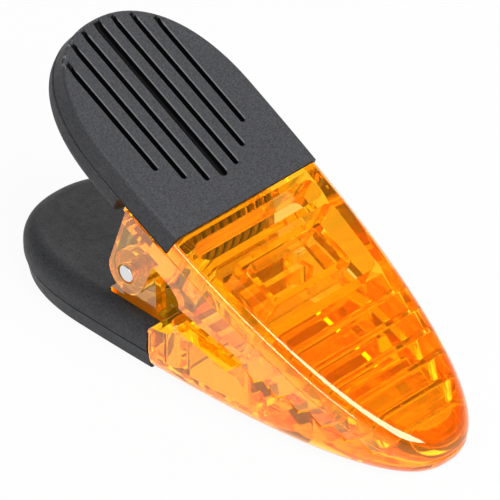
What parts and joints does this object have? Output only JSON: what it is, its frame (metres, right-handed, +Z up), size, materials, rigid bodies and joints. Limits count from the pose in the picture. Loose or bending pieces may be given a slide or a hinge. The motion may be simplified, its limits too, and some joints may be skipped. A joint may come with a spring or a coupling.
{
  "type": "spring clamp",
  "caption": "Wide hand-squeezed spring clamp: translucent toothed jaws hinged on a pin under a coil spring, with grooved soft black handle grips.",
  "frame": {"origin": "centre of the clamp's box, on the plane that the lower lever lies on", "axes": "+X along the lower lever towards the nose, +Y along the pivot pin, +Z up from the lower lever's outer face"},
  "size_m": [0.1024, 0.0362, 0.0512],
  "materials": {
    "upper_jaw_plastic": "clear tinted gloss",
    "lower_jaw_plastic": "clear tinted gloss",
    "upper_grip_rubber": "fine matt grain",
    "lower_grip_rubber": "fine matt grain",
    "pin_steel": "bright turned",
    "spring_steel": "drawn wire"
  },
  "bodies": {
    "lower_lever": {"lower_jaw": "lower_jaw_plastic", "lower_grip": "lower_grip_rubber", "torsion_spring": "spring_steel"},
    "upper_lever": {"upper_jaw": "upper_jaw_plastic", "upper_grip": "upper_grip_rubber", "pivot_pin": "pin_steel"}
  },
  "joints": [
    {"name": "jaw_pivot", "type": "hinge", "parent": "lower_lever", "child": "upper_lever", "pos_m": [-0.0123, 0, 0.0182], "axis": [0, -1, 0], "range_deg": [0, 50], "stiffness_Nm_per_rad": 0.4, "springref_deg": -45.84, "deforming": ["torsion_spring"]}
  ]
}
